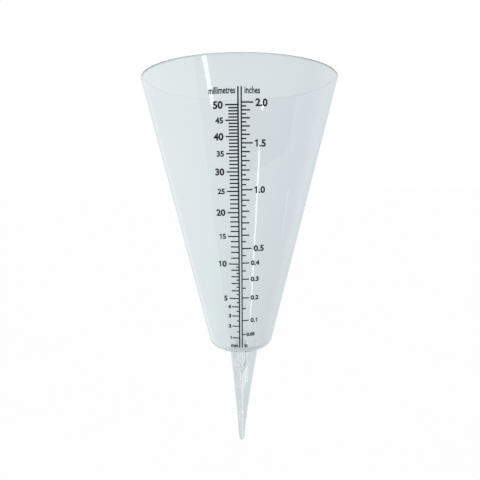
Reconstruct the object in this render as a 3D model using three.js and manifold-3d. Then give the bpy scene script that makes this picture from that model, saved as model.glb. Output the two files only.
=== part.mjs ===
// Manual rain gauge: a clear conical cup with a printed scale, on a clear three-finned ground spike.
// Millimetres, +Z up. The origin is on the axis at the underside of the cup, which is also the soil line.
// The printed scale is on the front, towards -Y.

import * as THREE from "three";
import { mergeVertices } from "three/addons/utils/BufferGeometryUtils.js";
import Module from "manifold-3d";

const wasm = await Module();
wasm.setup();

// Driving dimensions of the cup.
const mouthRadius = 50; // inside, at the rim
const cupHeight = 146;
const taper = 0.236; // radius lost for each millimetre down the wall
const wall = 1.5; // measured level, at any height
const floor = 1.5;
const rimEase = 0.3;
const baseCorner = 4.5;
const floorCorner = 3.5;
const roundSteps = 96;
const cornerSteps = 5;

// The stub under the cup and its socket in the spike.
const stubRadius = 2.5;
const stubLength = 16;
const stubEnd = 0.5; // radius of the tapered stub's flat end
const stubTaper = 5; // length of its tapered end
const socketClearance = 0.15;
const socketDepth = 18;
const socketEnd = 0.6;
const socketTaper = 5.5;
const cutOverrun = 1; // how far the socket's cutter stands out above the spike

// The ground spike.
const seatGap = 0.25; // between the cup's underside and the tops of the fins
const hubRadius = 3.6;
const hubLength = 22;
const hubNose = 8;
const coreRadius = 1.2;
const hubSteps = 32;
const finCount = 3;
const finThickness = 1.8;
const finRadius = 9.7;
const finStraight = 5; // depth at which the fins start to taper
const finHollow = 1.2; // above 1, the fins' long edges curve inwards
const pointRadius = 2; // reach of the fins where the rounded point starts
const pointLength = 4.5;
const spikeLength = 61.5;
const finTopCorner = 0.8;
const curveSteps = 6;
const edgeSteps = 8;
const firstFinAngle = THREE.MathUtils.degToRad(8);

// The printed scale. Across is measured along the wall, rightwards from the middle of the front.
const inkGap = 0.05;
const inkThickness = 0.14;
const markHeight = 0.58;
const lineTop = 133;
const lineBottom = 4.2;
const shortening = 0.14; // share of its length that a mark would lose between the rim and the base
const millimetreLine = { side: -1, edge: -0.36, width: 0.65 }; // its edge nearest the middle of the front
const inchLine = { side: 1, edge: 0.4, width: 0.58 };
const fiveMark = 5.4; // mark lengths at the rim, for every 5, 1 and half millimetre
const oneMark = 4;
const halfMark = 1.2;
const lastHalfMark = 10; // depth above which the half millimetres are left out
const halfInchMark = 5; // mark lengths at the rim, for every 0.5, 0.1 and 0.05 inch
const tenthMark = 3.6;
const twentiethMark = 1.9;
const bendStep = 1.8; // longest flat stretch of ink across the curved wall
const millimetresPerInch = 25.4;
const weldDistance = 1e-4;

const cupRadius = (height) => mouthRadius + wall - taper * (cupHeight - height);
const boreRadius = (height) => cupRadius(height) - wall;

// The height at which this depth of rain, caught by the mouth, fills the tapering cup.
function rainHeight(depth) {
  const bottom = boreRadius(floor);
  const caught = 3 * taper * depth * mouthRadius ** 2;
  return floor + (Math.cbrt(bottom ** 3 + caught) - bottom) / taper;
}

// A quarter-round or shallower corner of an outline, from one angle to another.
function corner(x, y, radius, from, to) {
  const points = [];
  for (let i = 0; i <= cornerSteps; i += 1) {
    const angle = from + ((to - from) * i) / cornerSteps;
    points.push(new THREE.Vector2(x + radius * Math.cos(angle), y + radius * Math.sin(angle)));
  }
  return points;
}

// Turns an outline of radius and height about the Z axis.
function turned(points, steps) {
  return new THREE.LatheGeometry(points, steps).rotateX(Math.PI / 2);
}

// The solid that a closed geometry bounds, for joining and cutting.
function solid(geometry) {
  const plain = geometry.clone();
  plain.deleteAttribute("normal");
  plain.deleteAttribute("uv");
  const merged = mergeVertices(plain, weldDistance);
  const index = merged.index.array;
  const kept = [];
  for (let i = 0; i < index.length; i += 3) {
    const [a, b, c] = [index[i], index[i + 1], index[i + 2]];
    if (a !== b && b !== c && c !== a) {
      kept.push(a, b, c);
    }
  }
  const vertProperties = new Float32Array(merged.attributes.position.array);
  return new wasm.Manifold(new wasm.Mesh({ numProp: 3, vertProperties, triVerts: new Uint32Array(kept) }));
}

// The geometry of a joined or cut solid.
function geometryOf(shape) {
  const mesh = shape.getMesh();
  const geometry = new THREE.BufferGeometry();
  geometry.setAttribute("position", new THREE.BufferAttribute(mesh.vertProperties, 3));
  geometry.setIndex(new THREE.BufferAttribute(mesh.triVerts, 1));
  geometry.computeVertexNormals();
  return geometry;
}

function joined(shapes) {
  return shapes.reduce((sum, shape) => sum.add(shape));
}

// The cup, its closed floor and the stub under it, as one turned outline.
function cupGeometry() {
  const lean = Math.atan(taper);
  const baseRadius = cupRadius(0) - baseCorner * Math.tan(Math.PI / 4 - lean / 2);
  const floorRadius = boreRadius(floor) - floorCorner * Math.tan(Math.PI / 4 - lean / 2);
  const outline = [
    new THREE.Vector2(0, -stubLength),
    new THREE.Vector2(stubEnd, -stubLength),
    new THREE.Vector2(stubRadius, -stubLength + stubTaper),
    new THREE.Vector2(stubRadius, 0),
    ...corner(baseRadius, baseCorner, baseCorner, -Math.PI / 2, -lean),
    new THREE.Vector2(cupRadius(cupHeight - rimEase), cupHeight - rimEase),
    new THREE.Vector2(cupRadius(cupHeight) - rimEase, cupHeight),
    new THREE.Vector2(mouthRadius + rimEase, cupHeight),
    new THREE.Vector2(boreRadius(cupHeight - rimEase), cupHeight - rimEase),
    ...corner(floorRadius, floor + floorCorner, floorCorner, -lean, -Math.PI / 2),
    new THREE.Vector2(0, floor),
  ];
  return turned(outline, roundSteps);
}

// The hub with its tapered nose, and the thin core that runs down to the point.
function hubGeometry() {
  const outline = [
    new THREE.Vector2(0, -spikeLength + pointLength / 2),
    new THREE.Vector2(coreRadius, -spikeLength + pointLength),
    new THREE.Vector2(coreRadius, -hubLength - hubNose),
    new THREE.Vector2(hubRadius, -hubLength),
    new THREE.Vector2(hubRadius, -seatGap),
    new THREE.Vector2(0, -seatGap),
  ];
  return turned(outline, hubSteps);
}

// How far a fin stands out from the axis, this far below the soil line.
function finReach(depth) {
  const share = (depth - finStraight) / (spikeLength - pointLength - finStraight);
  return pointRadius + (finRadius - pointRadius) * (1 - share) ** finHollow;
}

// One fin, standing on the +X side of the axis.
function finGeometry() {
  const outline = new THREE.Shape();
  outline.moveTo(0, -seatGap);
  outline.lineTo(finRadius - finTopCorner, -seatGap);
  outline.lineTo(finRadius, -seatGap - finTopCorner);
  for (let i = 0; i <= edgeSteps; i += 1) {
    const depth = finStraight + ((spikeLength - pointLength - finStraight) * i) / edgeSteps;
    outline.lineTo(finReach(depth), -depth);
  }
  outline.quadraticCurveTo(pointRadius, -spikeLength, 0, -spikeLength);
  const settings = { depth: finThickness, bevelEnabled: false, curveSegments: curveSteps };
  const fin = new THREE.ExtrudeGeometry(outline, settings);
  return fin.translate(0, 0, -finThickness / 2).rotateX(Math.PI / 2);
}

// What is cut out of the spike to make its socket.
function socketGeometry() {
  const radius = stubRadius + socketClearance;
  const outline = [
    new THREE.Vector2(0, -socketDepth),
    new THREE.Vector2(socketEnd, -socketDepth),
    new THREE.Vector2(radius, -socketDepth + socketTaper),
    new THREE.Vector2(radius, cutOverrun),
    new THREE.Vector2(0, cutOverrun),
  ];
  return turned(outline, hubSteps);
}

function spikeGeometry() {
  const fins = [];
  for (let i = 0; i < finCount; i += 1) {
    const angle = firstFinAngle + (2 * Math.PI * i) / finCount;
    fins.push(solid(finGeometry().rotateZ(angle)));
  }
  return geometryOf(joined([solid(hubGeometry()), ...fins]).subtract(solid(socketGeometry())));
}

// A point on the front of the cup, this far across and up it, and this far out from its wall.
function onWall(across, height, offset) {
  const lean = Math.atan(taper);
  const angle = across / cupRadius(height);
  const radius = cupRadius(height) + offset * Math.cos(lean);
  return [radius * Math.sin(angle), -radius * Math.cos(angle), height - offset * Math.sin(lean)];
}

// A closed sheet of ink bent round the wall, made of rectangles that share whole edges. Each corner has an
// inner point and, numbered one higher, an outer point. An edge of only one rectangle gets a side face.
function inkSheet(cells) {
  const places = [];
  const corners = new Map();
  const faces = [];
  const edges = new Map();

  function cornerAt(across, height) {
    const key = `${across.toFixed(4)} ${height.toFixed(4)}`;
    if (!corners.has(key)) {
      corners.set(key, places.length / 3);
      places.push(...onWall(across, height, inkGap));
      places.push(...onWall(across, height, inkGap + inkThickness));
    }
    return corners.get(key);
  }

  for (const { left, right, bottom, top } of cells) {
    const a = cornerAt(left, bottom);
    const b = cornerAt(right, bottom);
    const c = cornerAt(right, top);
    const d = cornerAt(left, top);
    const ring = [a, b, c, d];
    faces.push(a, c, b, a, d, c);
    faces.push(a + 1, b + 1, c + 1, a + 1, c + 1, d + 1);
    ring.forEach((from, i) => edges.set(`${from} ${ring[(i + 1) % 4]}`, [from, ring[(i + 1) % 4]]));
  }
  for (const [from, to] of edges.values()) {
    if (!edges.has(`${to} ${from}`)) {
      faces.push(from, to, to + 1, from, to + 1, from + 1);
    }
  }
  const geometry = new THREE.BufferGeometry();
  geometry.setAttribute("position", new THREE.Float32BufferAttribute(places, 3));
  geometry.setIndex(faces);
  geometry.computeVertexNormals();
  return geometry;
}

// A long line with its marks on one side: -1 is for marks to the left and 1 for marks to the right.
function scaleGeometry({ side, edge, width }, marks) {
  const farEdge = edge + side * width;
  const cells = [];
  const addCell = (from, to, bottom, top) =>
    cells.push({ left: Math.min(from, to), right: Math.max(from, to), bottom, top });
  let reached = lineBottom;
  for (const { depth, length } of marks) {
    const bottom = rainHeight(depth) - markHeight / 2;
    const top = bottom + markHeight;
    addCell(edge, farEdge, reached, bottom);
    addCell(edge, farEdge, bottom, top);
    const drawn = length * (1 - shortening * (1 - bottom / cupHeight));
    const steps = Math.ceil(drawn / bendStep);
    const along = (i) => farEdge + (side * drawn * i) / steps;
    for (let i = 0; i < steps; i += 1) {
      addCell(along(i), along(i + 1), bottom, top);
    }
    reached = top;
  }
  addCell(edge, farEdge, reached, lineTop);
  return inkSheet(cells);
}

// Millimetre marks: every 1 to 50, long at each 5, with short half marks below 10.
function millimetreMarks() {
  const marks = [];
  for (let halves = 2; halves <= 100; halves += 1) {
    const depth = halves / 2;
    if (halves % 2 === 1 && depth < lastHalfMark) {
      marks.push({ depth, length: halfMark });
    } else if (halves % 2 === 0) {
      marks.push({ depth, length: depth % 5 === 0 ? fiveMark : oneMark });
    }
  }
  return marks;
}

// Inch marks: every 0.05 to 2.00, longer at each 0.1 and longest at each 0.5.
function inchMarks() {
  const marks = [];
  for (let twentieth = 1; twentieth <= 40; twentieth += 1) {
    let length = twentieth % 2 === 0 ? tenthMark : twentiethMark;
    if (twentieth % 10 === 0) {
      length = halfInchMark;
    }
    marks.push({ depth: (twentieth / 20) * millimetresPerInch, length });
  }
  return marks;
}

function clearPlastic(color, opacity) {
  const finish = { transparent: true, roughness: 0.08, metalness: 0 };
  return new THREE.MeshStandardMaterial({ color, opacity, ...finish });
}

const ink = new THREE.MeshStandardMaterial({ color: 0x141414, roughness: 0.4, metalness: 0 });

function named(name, geometry, material) {
  const mesh = new THREE.Mesh(geometry, material);
  mesh.name = name;
  return mesh;
}

const gauge = new THREE.Group();
gauge.add(named("ground_spike", spikeGeometry(), clearPlastic(0xd3dddf, 0.5)));

const cup = new THREE.Group();
cup.add(named("measuring_cone", cupGeometry(), clearPlastic(0xdfe6e9, 0.35)));
cup.add(named("millimetre_scale", scaleGeometry(millimetreLine, millimetreMarks()), ink.clone()));
cup.add(named("inch_scale", scaleGeometry(inchLine, inchMarks()), ink.clone()));
gauge.add(cup);

export default gauge;
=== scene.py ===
import math

import bmesh
import bpy
from mathutils import Euler, Matrix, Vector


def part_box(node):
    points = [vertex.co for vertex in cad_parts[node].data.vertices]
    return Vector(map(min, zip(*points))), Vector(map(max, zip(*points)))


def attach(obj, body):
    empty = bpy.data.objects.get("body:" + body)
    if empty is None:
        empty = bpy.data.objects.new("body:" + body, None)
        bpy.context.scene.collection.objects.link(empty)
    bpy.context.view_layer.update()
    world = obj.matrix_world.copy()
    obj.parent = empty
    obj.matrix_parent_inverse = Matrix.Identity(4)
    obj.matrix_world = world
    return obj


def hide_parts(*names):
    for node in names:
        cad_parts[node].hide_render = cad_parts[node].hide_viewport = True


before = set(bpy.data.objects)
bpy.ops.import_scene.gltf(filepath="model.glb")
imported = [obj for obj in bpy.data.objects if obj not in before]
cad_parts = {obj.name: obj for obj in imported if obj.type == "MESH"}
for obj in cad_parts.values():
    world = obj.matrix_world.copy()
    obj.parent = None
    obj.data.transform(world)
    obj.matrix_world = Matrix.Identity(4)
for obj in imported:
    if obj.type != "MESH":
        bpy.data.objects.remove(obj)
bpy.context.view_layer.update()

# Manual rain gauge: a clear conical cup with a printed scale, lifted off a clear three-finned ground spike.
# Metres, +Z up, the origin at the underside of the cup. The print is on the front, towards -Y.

MM = 0.001

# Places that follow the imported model.
RIM_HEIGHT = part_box("measuring_cone")[1].z
STUB_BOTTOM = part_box("measuring_cone")[0].z
SPIKE_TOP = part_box("ground_spike")[1].z
TIP_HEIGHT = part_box("ground_spike")[0].z
SPIKE_LENGTH = SPIKE_TOP - TIP_HEIGHT
LINE_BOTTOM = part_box("millimetre_scale")[0].z
LINE_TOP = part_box("millimetre_scale")[1].z

# The cup. Its long walls have an extra point this hold from each end, so that they are shaded as straight.
MOUTH_RADIUS = 50 * MM
TAPER = 0.236
LEAN = math.atan(TAPER)
WALL = 1.5 * MM
FLOOR = 1.5 * MM
STUB_RADIUS = 2.5 * MM
HOLD = 0.12 * MM

# The spike. Depths are below its top.
SOCKET_RADIUS = 2.65 * MM
SOCKET_BOTTOM = -18 * MM
HUB_RADIUS = 3.6 * MM
HUB_LENGTH = 22 * MM
HUB_NOSE = 8 * MM
CORE_RADIUS = 1.2 * MM
FIN_COUNT = 3
FIRST_FIN = math.radians(8)
FIN_RADIUS = 9.65 * MM
FIN_HALF = 0.9 * MM
FIN_DRAFT = 0.15 * MM
FIN_TOP_CORNER = 0.8 * MM
TOP_EASE = 0.15 * MM
FIN_STRAIGHT = 5 * MM
FIN_HOLLOW = 1.2
POINT_RADIUS = 2.0 * MM
POINT_LENGTH = 4.5 * MM

# The print. Across is measured along the wall, rightwards from the middle of the front.
INK_GAP = 0.01 * MM
INK_THICKNESS = 0.04 * MM
MARK_HEIGHT = 0.62 * MM
BEND_STEP = 0.7 * MM
LEFT_LINE = (-0.36 * MM, 0.68 * MM)
RIGHT_LINE = (0.40 * MM, 0.60 * MM)
MM_PER_INCH = 25.4
MOST_MILLIMETRES = 50
MOST_TWENTIETHS = 40
LAST_HALF = 10
FIVE_MARK = 5.4 * MM
ONE_MARK = 4.0 * MM
HALF_MARK = 1.2 * MM
HALF_INCH_MARK = 5.0 * MM
TENTH_MARK = 3.6 * MM
TWENTIETH_MARK = 1.9 * MM
SHORTENING = 0.14
CUT_WELD = 1e-7

# Numerals and unit words. The built-in font is one unit in size: a swell makes its thin strokes heavier.
CAP_SHARE = 0.682  # height of a numeral, as a share of the size
DIGITS = "0123456789."
NUMERAL_WIDTH = 1.06
NUMERAL_ADVANCE = 0.5
POINT_ADVANCE = 0.22
GLYPH_WELD = 1e-5
LARGE_SWELL = 0.038
MEDIUM_SWELL = 0.045
SMALL_SWELL = 0.06
WORD_SWELL = 0.026
WORD_CAP = 2.6 * MM
WORD_HEIGHT = RIM_HEIGHT - 14.4 * MM
UNIT_CAP = 2.2 * MM
UNIT_WIDTH = 0.8
UNIT_HEIGHT = RIM_HEIGHT - 140.5 * MM
FLAGGED_ONE = [
    (0.2, -0.03),
    (0.35, -0.03),
    (0.35, 0.71),
    (0.25, 0.71),
    (0.05, 0.58),
    (0.05, 0.44),
    (0.2, 0.53),
]


def cup_radius(height):
    """Outside radius of the cup's wall."""
    return MOUTH_RADIUS + WALL - TAPER * (RIM_HEIGHT - height)


def bore_radius(height):
    """Inside radius of the cup's wall."""
    return cup_radius(height) - WALL


def rain_height(depth):
    """Height at which this depth of rain in millimetres, caught by the mouth, fills the tapering cup."""
    bottom = bore_radius(FLOOR)
    caught = 3 * TAPER * depth * MM * MOUTH_RADIUS ** 2
    return FLOOR + ((bottom ** 3 + caught) ** (1 / 3) - bottom) / TAPER


# ------------------------------------------------------------------ camera


def make_camera():
    data = bpy.data.cameras.new("camera")
    data.sensor_width = 36.0
    data.lens = 31.06
    camera = bpy.data.objects.new("camera", data)
    bpy.context.scene.collection.objects.link(camera)
    distance = 231.4 * MM
    below_rim = 53.3 * MM
    pitch_down = 0.139
    roll = -0.0062
    facing = Euler((math.pi / 2 - pitch_down, 0.0, 0.0)).to_matrix()
    camera.location = (-0.2 * MM, -distance, RIM_HEIGHT - below_rim)
    camera.rotation_euler = (facing @ Matrix.Rotation(roll, 3, "Z")).to_euler()
    bpy.context.scene.camera = camera


make_camera()


# ------------------------------------------------------------------ mesh helpers


def mesh_object(name, bm, smooth=True):
    mesh = bpy.data.meshes.new(name)
    bm.to_mesh(mesh)
    bm.free()
    for polygon in mesh.polygons:
        polygon.use_smooth = smooth
    piece = bpy.data.objects.new(name, mesh)
    bpy.context.scene.collection.objects.link(piece)
    return piece


def arc(x, y, radius, start, end, steps):
    """Points of an arc, from one angle to another."""
    angles = [start + (end - start) * i / steps for i in range(steps + 1)]
    return [(x + radius * math.cos(a), y + radius * math.sin(a)) for a in angles]


def between(start, end, steps, hold=0.0):
    """Evenly spaced points from one point to another, without either of them.

    With a hold, one more point lies that far from each end, so that the shading bends only at the corners."""
    dx, dy = end[0] - start[0], end[1] - start[1]
    length = math.hypot(dx, dy)
    shares = [i / steps for i in range(1, steps)]
    if hold:
        shares = [hold / length] + shares + [1 - hold / length]
    return [(start[0] + dx * t, start[1] + dy * t) for t in shares]


def skin(bm, rings):
    """Faces from each ring of vertices to the next."""
    for low, high in zip(rings, rings[1:]):
        for i in range(len(low)):
            j = (i + 1) % len(low)
            bm.faces.new((low[i], low[j], high[j], high[i]))


def fan(bm, ring, point):
    """Closes a ring of vertices with triangles to one point."""
    middle = bm.verts.new(point)
    for i in range(len(ring)):
        bm.faces.new((ring[i], ring[(i + 1) % len(ring)], middle))


def turned(name, outline, segments):
    """A solid turned about the Z axis from an outline (radius, height) that starts and ends on the axis."""
    bm = bmesh.new()
    angles = [2 * math.pi * i / segments for i in range(segments)]
    rings = [
        [bm.verts.new((radius * math.sin(a), -radius * math.cos(a), height)) for a in angles]
        for radius, height in outline[1:-1]
    ]
    skin(bm, rings)
    fan(bm, rings[0], (0, 0, outline[0][1]))
    fan(bm, rings[-1], (0, 0, outline[-1][1]))
    bmesh.ops.recalc_face_normals(bm, faces=bm.faces)
    return mesh_object(name, bm)


# ------------------------------------------------------------------ the cup


def make_cup():
    """The cup with its rounded rim and base, and the stub under its floor."""
    base_corner = 4.5 * MM
    floor_corner = 3.5 * MM
    rim_corner = 0.5 * MM
    stub_end = 0.5 * MM
    stub_taper = 5 * MM
    stub_root = 0.15 * MM
    base_flat = 9 * MM
    floor_flat = (8 * MM, 2 * MM)
    turn = math.tan(math.pi / 4 - LEAN / 2)
    base_x = cup_radius(0) - base_corner * turn
    floor_x = bore_radius(FLOOR) - floor_corner * turn
    rim_y = RIM_HEIGHT - rim_corner
    outer_x = cup_radius(rim_y) - rim_corner / math.cos(LEAN)
    inner_x = bore_radius(rim_y) + rim_corner / math.cos(LEAN)
    quarter = math.pi / 2

    outline = [(0.0, STUB_BOTTOM), (stub_end, STUB_BOTTOM)]
    outline += between(outline[-1], (STUB_RADIUS, STUB_BOTTOM + stub_taper), 4)
    outline += [(STUB_RADIUS, STUB_BOTTOM + stub_taper + HOLD)]
    outline += between(outline[-1], (STUB_RADIUS, 0), 8)
    outline += arc(STUB_RADIUS + stub_root, -stub_root, stub_root, math.pi, quarter, 4)
    outline += [(base_flat, 0.0)]
    outline += arc(base_x, base_corner, base_corner, -quarter, -LEAN, 10)
    rim_out = arc(outer_x, rim_y, rim_corner, -LEAN, quarter, 8)
    rim_in = arc(inner_x, rim_y, rim_corner, quarter, math.pi - LEAN, 8)
    floor_edge = arc(floor_x, FLOOR + floor_corner, floor_corner, -LEAN, -quarter, 8)
    outline += between(outline[-1], rim_out[0], 36, HOLD) + rim_out + rim_in
    outline += between(rim_in[-1], floor_edge[0], 36, HOLD) + floor_edge
    outline += [(x, FLOOR) for x in floor_flat] + [(0.0, FLOOR)]
    return turned("clear_cone", outline, 360)


# ------------------------------------------------------------------ the spike


def fin_reach(depth):
    """How far a fin stands out from the axis, this far below the spike's top."""
    corner = FIN_TOP_CORNER
    if depth < corner:
        return FIN_RADIUS - corner + math.sqrt(corner ** 2 - (corner - depth) ** 2)
    share = max(0.0, depth - FIN_STRAIGHT) / (SPIKE_LENGTH - POINT_LENGTH - FIN_STRAIGHT)
    return POINT_RADIUS + (FIN_RADIUS - POINT_RADIUS) * (1 - min(share, 1.0)) ** FIN_HOLLOW


def hub_reach(depth):
    """Radius of the round hub, which narrows to the core below the socket."""
    share = min(max((depth - HUB_LENGTH) / HUB_NOSE, 0.0), 1.0)
    return CORE_RADIUS + (HUB_RADIUS - CORE_RADIUS) * (0.5 + 0.5 * math.cos(math.pi * share))


def spike_section(depth):
    """Outline of the spike at a depth: three fins with rounded ends, filleted into the round middle."""
    reach = fin_reach(depth)
    hub = hub_reach(depth)
    half = FIN_HALF - FIN_DRAFT * min(depth / SPIKE_LENGTH, 1.0) - max(0.0, TOP_EASE - depth)
    corner = 0.3 * MM
    fillet = 0.9 * MM
    fillet_x = math.sqrt((hub + fillet) ** 2 - (half + fillet) ** 2)
    meet = math.atan2(half + fillet, fillet_x)
    third = math.pi / FIN_COUNT
    # The lower half of a fin along +X, from midway between two fins out to the middle of its end.
    lower = arc(0, 0, hub, -third, -meet, 6)[:-1]
    lower += arc(fillet_x, -half - fillet, fillet, math.pi - meet, math.pi / 2, 5)
    lower += between(lower[-1], (reach - corner, -half), 8)
    lower += arc(reach - corner, -half + corner, corner, -math.pi / 2, 0, 4)
    upper = [(x, -y) for x, y in reversed(lower)][:-1]
    points = []
    for i in range(FIN_COUNT):
        turn = FIRST_FIN + 2 * math.pi * i / FIN_COUNT
        c, s = math.cos(turn), math.sin(turn)
        points += [(x * c - y * s, x * s + y * c) for x, y in lower + upper]
    return points


def make_spike():
    """The ground spike: a lofted solid with a blind socket in its top."""
    point_start = SPIKE_LENGTH - POINT_LENGTH
    bm = bmesh.new()

    def ring(points, z):
        return [bm.verts.new((x, y, z)) for x, y in points]

    around = [math.atan2(y, x) for x, y in spike_section(0.0)]

    def round_ring(radius, z):
        return ring([(radius * math.cos(a), radius * math.sin(a)) for a in around], z)

    # The socket, from its narrow end up to the lip in the spike's top.
    lip = 0.25 * MM
    end_radius = 0.6 * MM
    end_taper = 5.5 * MM
    bore_end = (end_radius, SOCKET_BOTTOM)
    bore_start = (SOCKET_RADIUS, SOCKET_BOTTOM + end_taper)
    bore_top = (SOCKET_RADIUS, SPIKE_TOP - lip)
    bore = [bore_end] + between(bore_end, bore_start, 4) + [bore_start]
    bore += between(bore_start, bore_top, 6) + [bore_top, (SOCKET_RADIUS + lip, SPIKE_TOP)]
    rings = [round_ring(radius, z) for radius, z in bore]
    fan(bm, rings[0], (0, 0, SOCKET_BOTTOM))

    # The fins, with sections close together round their top corners, then the blunt point.
    top_depths = [0.0, 0.05, 0.15, 0.35, 0.8, 1.5, 3.0, 5.0]
    spacing = 1.5
    depths = top_depths + [top_depths[-1] + spacing * i for i in range(1, 35)]
    for depth in depths:
        rings.append(ring(spike_section(depth * MM), SPIKE_TOP - depth * MM))
    point_steps = 10
    point_fullness = 2.4
    last = spike_section(point_start)
    for i in range(point_steps):
        share = i / point_steps
        scale = math.sqrt(1 - share ** point_fullness)
        height = SPIKE_TOP - point_start - POINT_LENGTH * share
        rings.append(ring([(x * scale, y * scale) for x, y in last], height))
    skin(bm, rings)
    fan(bm, rings[-1], (0, 0, TIP_HEIGHT))
    bmesh.ops.recalc_face_normals(bm, faces=bm.faces)
    spike = mesh_object("clear_spike", bm)
    weighted = spike.modifiers.new("even_shading", "WEIGHTED_NORMAL")
    weighted.keep_sharp = True
    return spike


# ------------------------------------------------------------------ the print


def on_wall(across, height, offset):
    """A point on the front of the cup, this far across and up it, and this far out from its wall."""
    angle = across / cup_radius(height)
    radius = cup_radius(height) + offset * math.cos(LEAN)
    return radius * math.sin(angle), -radius * math.cos(angle), height - offset * math.sin(LEAN)


def overlapped(edge):
    """Whether faces lie over each other at an edge: three of them, or two that run along it the same way."""
    loops = edge.link_loops
    return len(loops) > 2 or (len(loops) == 2 and loops[0].vert == loops[1].vert)


def drop_slivers(flat):
    """Takes out the smallest of overlapping faces, and parts the faces that meet only at a point."""
    while edges := [edge for edge in flat.edges if overlapped(edge)]:
        slivers = dict.fromkeys(min(edge.link_faces, key=lambda face: face.calc_area()) for edge in edges)
        bmesh.ops.delete(flat, geom=list(slivers), context="FACES")
    bmesh.ops.delete(flat, geom=[edge for edge in flat.edges if not edge.link_faces], context="EDGES")
    bmesh.ops.delete(flat, geom=[vert for vert in flat.verts if not vert.link_faces], context="VERTS")
    for vert in flat.verts[:]:
        if sum(edge.is_boundary for edge in vert.link_edges) > 2:
            bmesh.utils.vert_separate(vert, [])


def printed(name, flat):
    """Cuts flat shapes (across, height, 0) into narrow strips and wraps them on the wall as a thin film."""
    widest = max(abs(v.co.x) for v in flat.verts)
    steps = int(widest / BEND_STEP) + 1
    for i in range(-steps, steps + 1):
        geometry = flat.verts[:] + flat.edges[:] + flat.faces[:]
        place = (i * BEND_STEP, 0, 0)
        bmesh.ops.bisect_plane(flat, geom=geometry, plane_co=place, plane_no=(1, 0, 0), dist=CUT_WELD)
    drop_slivers(flat)
    film = bmesh.new()

    def wrapped(offset):
        return {vert: film.verts.new(on_wall(vert.co.x, vert.co.y, offset)) for vert in flat.verts}

    inner = wrapped(INK_GAP)
    outer = wrapped(INK_GAP + INK_THICKNESS)
    for face in flat.faces:
        film.faces.new([outer[vert] for vert in face.verts])
        film.faces.new([inner[vert] for vert in reversed(face.verts)])
    for edge in flat.edges:
        if edge.is_boundary:
            loop = edge.link_loops[0]
            start, end = loop.vert, loop.link_loop_next.vert
            film.faces.new((inner[start], inner[end], outer[end], outer[start]))
    flat.free()
    return mesh_object(name, film, smooth=False)


def narrowing(height):
    """The share of its full length that a mark has: a little less towards the narrow end of the cup."""
    return 1 - SHORTENING * (1 - height / RIM_HEIGHT)


def scale_marks(name, side, line, marks):
    """A long line with its marks on one side: -1 for the left and 1 for the right."""
    flat = bmesh.new()
    corners = {}

    def corner(x, y):
        key = (round(x / CUT_WELD), round(y / CUT_WELD))
        if key not in corners:
            corners[key] = flat.verts.new((x, y, 0))
        return corners[key]

    def cell(x0, x1, y0, y1):
        x0, x1 = min(x0, x1), max(x0, x1)
        flat.faces.new((corner(x0, y0), corner(x1, y0), corner(x1, y1), corner(x0, y1)))

    near = line[0]
    far = near + side * line[1]
    reached = LINE_BOTTOM
    # The line is built in cells, so that it shares its corners with every mark.
    for depth, length in marks:
        bottom = rain_height(depth) - MARK_HEIGHT / 2
        top = bottom + MARK_HEIGHT
        cell(near, far, reached, bottom)
        cell(near, far, bottom, top)
        cell(far, far + side * length * narrowing(bottom), bottom, top)
        reached = top
    cell(near, far, reached, LINE_TOP)
    return printed(name, flat)


def font_shapes(text, swell):
    """Flat letters of a text in the built-in font, one unit in size, with this much heavier strokes."""
    curve = bpy.data.curves.new("glyphs", "FONT")
    curve.body = text
    curve.size = 1.0
    curve.offset = swell
    curve.resolution_u = 4
    curve.fill_mode = "BOTH"
    holder = bpy.data.objects.new("glyphs", curve)
    bpy.context.scene.collection.objects.link(holder)
    bpy.context.view_layer.update()
    mesh = bpy.data.meshes.new_from_object(holder)
    bpy.data.objects.remove(holder)
    bpy.data.curves.remove(curve)
    return mesh


def flat_text(text, swell):
    """Flat text one unit in size. Numerals are set one by one, with a flag on every 1, and words whole."""
    flat = bmesh.new()
    pen = 0.0
    for part in (list(text) if text[0] in DIGITS else [text]):
        if part == "1":
            flat.faces.new([flat.verts.new((pen + x, y, 0)) for x, y in FLAGGED_ONE])
        else:
            before = len(flat.verts)
            mesh = font_shapes(part, swell)
            flat.from_mesh(mesh)
            bpy.data.meshes.remove(mesh)
            flat.verts.ensure_lookup_table()
            for vert in flat.verts[before:]:
                vert.co.x += pen
        pen += POINT_ADVANCE if part == "." else NUMERAL_ADVANCE
    bmesh.ops.remove_doubles(flat, verts=flat.verts, dist=GLYPH_WELD)
    drop_slivers(flat)
    return flat


def add_label(flat, text, side, edge, middle, cap, swell, width=NUMERAL_WIDTH):
    """Adds a numeral or a word to flat shapes.

    It runs from this edge to the left (-1) or the right (1) and is centred on this height. Its capitals are
    this high, and its strokes this much heavier and its width this many times that of the font."""
    label = flat_text(text, swell)
    across = [vert.co.x for vert in label.verts]
    start = max(across) if side < 0 else min(across)
    size = cap / CAP_SHARE
    for vert in label.verts:
        x = edge + (vert.co.x - start) * size * width
        vert.co = (x, middle + (vert.co.y - CAP_SHARE / 2) * size, 0)
    mesh = bpy.data.meshes.new("label")
    label.to_mesh(mesh)
    label.free()
    flat.from_mesh(mesh)
    bpy.data.meshes.remove(mesh)


def millimetre_mark(depth):
    """Full length of the mark for a whole number of millimetres."""
    return FIVE_MARK if depth % 5 == 0 else ONE_MARK


def inch_mark(twentieth):
    """Full length of the mark for this many twentieths of an inch."""
    if twentieth % 10 == 0:
        return HALF_INCH_MARK
    return TENTH_MARK if twentieth % 2 == 0 else TWENTIETH_MARK


def millimetre_marks():
    """Depth and length of every mark from 1 mm to 50 mm, with half millimetres up to 9.5 mm."""
    marks = []
    for halves in range(2, 2 * MOST_MILLIMETRES + 1):
        depth = halves / 2
        if halves % 2 == 0:
            marks.append((depth, millimetre_mark(depth)))
        elif depth < LAST_HALF:
            marks.append((depth, HALF_MARK))
    return marks


def inches(twentieth):
    """This many twentieths of an inch, in millimetres."""
    return twentieth / 20 * MM_PER_INCH


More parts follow.
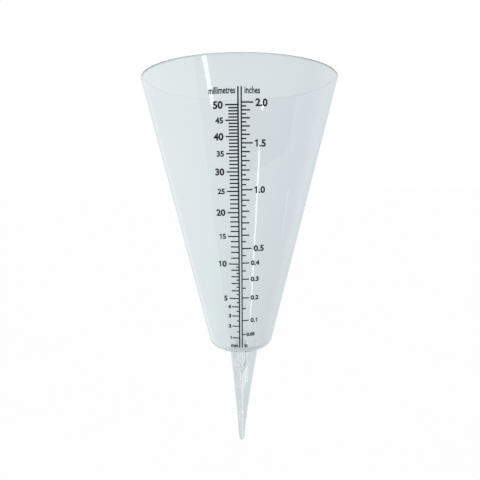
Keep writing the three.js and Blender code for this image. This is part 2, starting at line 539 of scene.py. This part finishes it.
def inch_marks():
    """Depth in millimetres and length of every mark from 0.05 in to 2 in."""
    return [(inches(twentieth), inch_mark(twentieth)) for twentieth in range(1, MOST_TWENTIETHS + 1)]


def millimetre_cap(depth):
    """Height of a millimetre numeral: tallest for the tens, and taller for 5 than for 15 to 45."""
    if depth % 10 == 0:
        return 2.85 * MM
    if depth % 5 == 0:
        return (2.65 if depth == 5 else 2.3) * MM
    return 1.8 * MM


def millimetre_numerals():
    """A numeral at every 5 mm and at 4, 3, 2 and 1 mm, with the scale's name above and its unit below."""
    flat = bmesh.new()
    edge = LEFT_LINE[0] - LEFT_LINE[1]
    for depth in list(range(MOST_MILLIMETRES, 0, -5)) + [4, 3, 2, 1]:
        large = depth % 5 == 0
        height = rain_height(depth)
        gap = 1.0 * MM if large else 0.5 * MM
        end = edge - millimetre_mark(depth) * narrowing(height) - gap
        swell = LARGE_SWELL if large else SMALL_SWELL
        add_label(flat, str(depth), -1, end, height, millimetre_cap(depth), swell)
    add_label(flat, "millimetres", -1, edge - 0.8 * MM, WORD_HEIGHT, WORD_CAP, WORD_SWELL, width=0.69)
    add_label(flat, "mm", -1, edge - 0.4 * MM, UNIT_HEIGHT, UNIT_CAP, MEDIUM_SWELL, width=UNIT_WIDTH)
    return printed("millimetre_numerals", flat)


def inch_numerals():
    """A numeral at every half inch, every tenth up to 0.4 and 0.05, with the scale's name and its unit."""
    flat = bmesh.new()
    edge = RIGHT_LINE[0] + RIGHT_LINE[1]
    gap = 0.9 * MM
    for tenths in (20, 15, 10, 5, 4, 3, 2, 1):
        large = tenths % 5 == 0
        height = rain_height(inches(2 * tenths))
        end = edge + inch_mark(2 * tenths) * narrowing(height) + gap
        cap = 2.85 * MM if large else 2.25 * MM
        swell = LARGE_SWELL if large else MEDIUM_SWELL
        add_label(flat, f"{tenths / 10:.1f}", 1, end, height, cap, swell)
    lowest = rain_height(inches(1))
    add_label(flat, "0.05", 1, edge + TWENTIETH_MARK, lowest, 1.8 * MM, SMALL_SWELL, width=1.0)
    add_label(flat, "inches", 1, edge + 1.1 * MM, WORD_HEIGHT, WORD_CAP, WORD_SWELL, width=0.71)
    add_label(flat, "in", 1, edge + 0.8 * MM, UNIT_HEIGHT, UNIT_CAP, MEDIUM_SWELL, width=UNIT_WIDTH)
    return printed("inch_numerals", flat)


# ------------------------------------------------------------------ materials


class Nodes:
    """Short ways to add the nodes of one material or world."""

    def __init__(self, owner):
        owner.use_nodes = True
        self.tree = owner.node_tree

    def add(self, kind, **settings):
        node = self.tree.nodes.new(kind)
        for key, value in settings.items():
            setattr(node, key, value)
        return node

    def feed(self, socket, value):
        """Links an output to a socket, or sets the socket to a number or a colour."""
        if isinstance(value, bpy.types.NodeSocket):
            self.tree.links.new(value, socket)
        elif isinstance(value, tuple) and len(socket.default_value) == 4:
            socket.default_value = (*value, 1.0)
        else:
            socket.default_value = value

    def place(self):
        """Object coordinates, in metres from the origin."""
        return self.add("ShaderNodeTexCoord").outputs["Object"]

    def maths(self, operation, first, second=0.0, clamp=False):
        node = self.add("ShaderNodeMath", operation=operation, use_clamp=clamp)
        self.feed(node.inputs[0], first)
        self.feed(node.inputs[1], second)
        return node.outputs[0]

    def ranged(self, value, start, end, low=0.0, high=1.0):
        node = self.add("ShaderNodeMapRange")
        for key, amount in (("From Min", start), ("From Max", end), ("To Min", low), ("To Max", high)):
            node.inputs[key].default_value = amount
        self.feed(node.inputs["Value"], value)
        return node.outputs[0]

    def blended(self, factor, first, second, blend_type="MIX"):
        node = self.add("ShaderNodeMix", data_type="RGBA", blend_type=blend_type)
        for socket, value in zip((node.inputs[0], node.inputs[6], node.inputs[7]), (factor, first, second)):
            self.feed(socket, value)
        return node.outputs[2]

    def noise(self, scale, detail=2.0, stretch=(1.0, 1.0, 1.0)):
        """Noise between 0 and 1, with this many patches to the metre."""
        mapping = self.add("ShaderNodeMapping")
        mapping.inputs["Scale"].default_value = stretch
        self.feed(mapping.inputs["Vector"], self.place())
        node = self.add("ShaderNodeTexNoise")
        self.feed(node.inputs["Vector"], mapping.outputs[0])
        node.inputs["Scale"].default_value = scale
        node.inputs["Detail"].default_value = detail
        return node.outputs[0]

    def split(self):
        """The X, Y and Z of a place on the object."""
        node = self.add("ShaderNodeSeparateXYZ")
        self.feed(node.inputs[0], self.place())
        return node.outputs

    def from_axis(self):
        """Distance from the Z axis."""
        x, y, _ = self.split()
        squares = self.maths("ADD", self.maths("MULTIPLY", x, x), self.maths("MULTIPLY", y, y))
        return self.maths("SQRT", squares)


GREEN_TINT = (0.976, 0.993, 0.986)
VIOLET_TINT = (0.992, 0.989, 0.999)
POLISHED_ROUGHNESS = 0.015
FROSTED_ROUGHNESS = 0.45
FLOW_DEPTH = 0.005 * MM


def clear_plastic(name, frosted, worn):
    """Clear moulded plastic with faint flow lines, smudges, scratches and patches of tint.

    frosted and worn take the material's nodes and give how matt and how scuffed each place is."""
    material = bpy.data.materials.new(name)
    nodes = Nodes(material)
    shader = nodes.tree.nodes["Principled BSDF"]
    shader.inputs["IOR"].default_value = 1.55
    shader.inputs["Transmission Weight"].default_value = 1.0
    patches = nodes.ranged(nodes.noise(28, 1.0), 0.35, 0.65)
    nodes.feed(shader.inputs["Base Color"], nodes.blended(patches, GREEN_TINT, VIOLET_TINT))

    # Smudges, fine upright scratches and the scuffs of wear, all as roughness.
    smudges = nodes.ranged(nodes.noise(60, 4.0), 0.5, 0.75, 0.0, 0.03)
    scratches = nodes.ranged(nodes.noise(900, 2.0, (1.0, 1.0, 0.04)), 0.68, 0.74, 0.0, 0.05)
    scuffs = nodes.ranged(nodes.noise(1400, 3.0), 0.4, 0.7, 0.03, 0.15)
    used = nodes.maths("MAXIMUM", smudges, scratches)
    used = nodes.maths("ADD", used, nodes.maths("MULTIPLY", scuffs, worn(nodes)))
    matt = nodes.maths("MULTIPLY", frosted(nodes), FROSTED_ROUGHNESS)
    roughness = nodes.maths("MAXIMUM", nodes.maths("ADD", used, POLISHED_ROUGHNESS), matt, clamp=True)
    nodes.feed(shader.inputs["Roughness"], roughness)

    # Flow lines from moulding: wide waves with shorter ones on them.
    waves = nodes.maths("ADD", nodes.noise(45, 1.0), nodes.maths("MULTIPLY", nodes.noise(170, 1.0), 0.15))
    bump = nodes.add("ShaderNodeBump")
    bump.inputs["Strength"].default_value = 1.0
    bump.inputs["Distance"].default_value = FLOW_DEPTH
    nodes.feed(bump.inputs["Height"], waves)
    nodes.feed(shader.inputs["Normal"], bump.outputs[0])
    return material


def cup_frosting(nodes):
    """Rubbed matt along the very rim, most at the front where it is wiped, and a little matt on the stub."""
    _, across, height = nodes.split()
    rim = nodes.ranged(height, RIM_HEIGHT - 0.75 * MM, RIM_HEIGHT - 0.45 * MM)
    rim = nodes.maths("MULTIPLY", rim, nodes.ranged(across, 25 * MM, -10 * MM, 0.12, 1.0))
    stub = nodes.ranged(height, -0.2 * MM, -0.8 * MM, 0.0, 0.2)
    return nodes.maths("MAXIMUM", rim, stub)


def base_wear(nodes):
    """Scuffed round the base."""
    return nodes.ranged(nodes.split()["Z"], 2.5 * MM, 0.0, 0.0, 0.15)


def socket_frosting(nodes):
    """Matt inside the socket."""
    return nodes.ranged(nodes.from_axis(), SOCKET_RADIUS + 0.35 * MM, SOCKET_RADIUS + 0.15 * MM, 0.0, 0.2)


def tip_wear(nodes):
    """Scuffed towards the point, where the spike goes into stony soil."""
    return nodes.ranged(nodes.split()["Z"], TIP_HEIGHT + 12 * MM, TIP_HEIGHT)


def make_ink():
    """Black ink, a little thinner and glossier in places."""
    material = bpy.data.materials.new("printed_ink")
    nodes = Nodes(material)
    shader = nodes.tree.nodes["Principled BSDF"]
    thin = nodes.ranged(nodes.noise(1500, 3.0), 0.45, 0.8)
    full_black, thin_black = (0.010, 0.011, 0.013), (0.030, 0.032, 0.036)
    nodes.feed(shader.inputs["Base Color"], nodes.blended(thin, full_black, thin_black))
    nodes.feed(shader.inputs["Roughness"], nodes.ranged(nodes.noise(400, 3.0), 0.3, 0.7, 0.28, 0.5))
    return material


# ------------------------------------------------------------------ the studio


# What the clear plastic shows, by height from straight down (0) to straight up (1).
THROUGH_LEFT = [
    (0.0, (0.52, 0.56, 0.57)),
    (0.18, (0.60, 0.65, 0.66)),
    (0.27, (0.73, 0.795, 0.805)),
    (0.5, (0.785, 0.845, 0.855)),
    (0.62, (0.765, 0.825, 0.835)),
    (0.68, (0.70, 0.75, 0.76)),
    (0.8, (0.60, 0.645, 0.655)),
    (1.0, (0.54, 0.58, 0.59)),
]
THROUGH_RIGHT = [
    (0.0, (0.50, 0.54, 0.56)),
    (0.18, (0.57, 0.615, 0.63)),
    (0.27, (0.63, 0.68, 0.71)),
    (0.5, (0.675, 0.725, 0.77)),
    (0.62, (0.72, 0.775, 0.81)),
    (0.68, (0.70, 0.75, 0.76)),
    (0.8, (0.60, 0.645, 0.655)),
    (1.0, (0.54, 0.58, 0.59)),
]
FAR_LEFT = (0.88, 0.93, 0.94)

# What it mirrors, from 0 at -X round through 0.25 at -Y, 0.5 at +X and 0.75 at +Y: low down, then high up.
PANEL = (0.64, 0.68, 0.70)
DARK = (0.03, 0.035, 0.04)
BEHIND = (0.72, 0.76, 0.79)
LOW_ROOM = [(0.0, PANEL), (0.110, PANEL), (0.114, DARK), (0.49, DARK), (0.59, BEHIND), (0.95, BEHIND)]
HIGH_ROOM = [(0.0, DARK), (0.20, DARK), (0.27, PANEL), (0.5, BEHIND), (0.95, BEHIND)]

# Each tube light: the normal of its plane, half its width, its lowest and highest direction, its strength.
TUBES = [
    ((0.9011, 0.4119, 0.1352), 0.029, -0.71, -0.34, 5.5),
    ((0.5897, -0.5659, 0.5762), 0.042, -0.27, -0.10, 5.0),
    ((0.8837, 0.4680, 0.0), 0.03, -0.28, -0.256, 8.0),
    ((0.2946, 0.6621, 0.6891), 0.02, -0.43, -0.33, 1.3),
]
TUBE_COLOUR = (1.0, 1.02, 1.03)
TUBE_CORE = 0.6  # share of its half width at full strength
TUBE_FADE = 0.1  # share of its length over which each end fades


def make_world():
    """White for the camera and the floor, and a pale grey room with lights for the clear plastic."""
    world = bpy.data.worlds.new("studio")
    nodes = Nodes(world)
    world.cycles.sampling_method = "NONE"
    nodes.tree.nodes.clear()
    output = nodes.add("ShaderNodeOutputWorld")
    direction = nodes.add("ShaderNodeTexCoord").outputs["Generated"]
    split = nodes.add("ShaderNodeSeparateXYZ")
    nodes.feed(split.inputs[0], direction)
    right, ahead, up = split.outputs

    def ramp(stops, factor):
        node = nodes.add("ShaderNodeValToRGB")
        elements = node.color_ramp.elements
        elements.remove(elements[-1])
        elements[0].position, elements[0].color = stops[0][0], (*stops[0][1], 1)
        for position, colour in stops[1:]:
            elements.new(position).color = (*colour, 1)
        nodes.feed(node.inputs[0], factor)
        return node.outputs[0]

    def tube(normal, half_width, low, high):
        """Where a straight tube light lies: in the plane across this normal, between two heights."""
        dot = nodes.add("ShaderNodeVectorMath", operation="DOT_PRODUCT")
        nodes.feed(dot.inputs[0], direction)
        dot.inputs[1].default_value = normal
        off = nodes.maths("ABSOLUTE", dot.outputs["Value"])
        across = nodes.ranged(off, half_width, half_width * TUBE_CORE)
        soft = TUBE_FADE * (high - low)
        rise, fall = nodes.ranged(up, low, low + soft), nodes.ranged(up, high, high - soft)
        ends = nodes.maths("MULTIPLY", rise, fall)
        in_front = nodes.ranged(ahead, 0.1, 0.0)
        return nodes.maths("MULTIPLY", nodes.maths("MULTIPLY", across, ends), in_front)

    # Seen through the plastic: pale grey, lighter on the left, darker straight down and overhead.
    height = nodes.ranged(up, -1, 1)
    left_side, right_side = ramp(THROUGH_LEFT, height), ramp(THROUGH_RIGHT, height)
    through = nodes.blended(nodes.ranged(right, -0.16, 0.2), left_side, right_side)
    through = nodes.blended(nodes.ranged(right, -0.25, -0.55), through, FAR_LEFT)

    # Mirrored by it: a bright panel on the front left, dark ahead, grey behind, and the tube lights.
    radial = nodes.add("ShaderNodeTexGradient", gradient_type="RADIAL")
    nodes.feed(radial.inputs["Vector"], direction)
    low_room = ramp(LOW_ROOM, radial.outputs["Color"])
    high_room = ramp(HIGH_ROOM, radial.outputs["Color"])
    mirrored = nodes.blended(nodes.ranged(up, -0.04, 0.04), low_room, high_room)
    for normal, half_width, low, high, strength in TUBES:
        light = nodes.blended(1.0, mirrored, tuple(strength * share for share in TUBE_COLOUR), "ADD")
        mirrored = nodes.blended(tube(normal, half_width, low, high), mirrored, light)

    def background(colour):
        node = nodes.add("ShaderNodeBackground")
        nodes.feed(node.inputs["Color"], colour)
        return node.outputs[0]

    def mixed(factor, first, second):
        node = nodes.add("ShaderNodeMixShader")
        for socket, value in zip(node.inputs, (factor, first, second)):
            nodes.feed(socket, value)
        return node.outputs[0]

    rays = nodes.add("ShaderNodeLightPath")
    plastic = mixed(rays.outputs["Is Transmission Ray"], background(mirrored), background(through))
    plain = nodes.maths("MAXIMUM", rays.outputs["Is Camera Ray"], rays.outputs["Is Diffuse Ray"])
    nodes.feed(output.inputs["Surface"], mixed(plain, plastic, background((1.0, 1.0, 1.0))))
    scene = bpy.context.scene
    scene.world = world
    scene.view_settings.view_transform = "Standard"
    # Light that is piped along inside the clear mouldings needs many bounces to get out again.
    scene.cycles.max_bounces = 32
    scene.cycles.glossy_bounces = 24
    scene.cycles.transmission_bounces = 24


def make_floor():
    """A wide pale floor just under the spike's point, which the plastic neither shows nor mirrors."""
    gap = 0.2 * MM
    half_size = 8.0
    bm = bmesh.new()
    bmesh.ops.create_grid(bm, x_segments=8, y_segments=8, size=half_size)
    floor = mesh_object("floor", bm)
    floor.location.z = TIP_HEIGHT - gap
    floor.visible_glossy = False
    floor.visible_transmission = False
    material = bpy.data.materials.new("pale_floor")
    nodes = Nodes(material)
    shader = nodes.tree.nodes["Principled BSDF"]
    mottled = nodes.blended(nodes.noise(12), (0.99, 0.99, 0.99), (0.98, 0.985, 0.985))
    nodes.feed(shader.inputs["Base Color"], mottled)
    shader.inputs["Roughness"].default_value = 1.0
    shader.inputs["Specular IOR Level"].default_value = 0.0
    floor.data.materials.append(material)


# ------------------------------------------------------------------ assembly

cup = make_cup()
spike = make_spike()
mm_marks = scale_marks("millimetre_marks", -1, LEFT_LINE, millimetre_marks())
in_marks = scale_marks("inch_marks", 1, RIGHT_LINE, inch_marks())
mm_numerals = millimetre_numerals()
in_numerals = inch_numerals()
ink = make_ink()
for piece, body, material, slot in (
    (cup, "cone", clear_plastic("clear_cone_plastic", cup_frosting, base_wear), "clear_cone"),
    (spike, "spike", clear_plastic("clear_spike_plastic", socket_frosting, tip_wear), "clear_spike"),
    (mm_marks, "cone", ink, "black_ink"),
    (in_marks, "cone", ink, "black_ink"),
    (mm_numerals, "cone", ink, "black_ink"),
    (in_numerals, "cone", ink, "black_ink"),
):
    piece.data.materials.append(material)
    piece.visible_diffuse = False
    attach(piece, body)
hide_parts("measuring_cone")
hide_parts("ground_spike")
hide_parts("millimetre_scale")
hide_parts("inch_scale")
make_world()
make_floor()
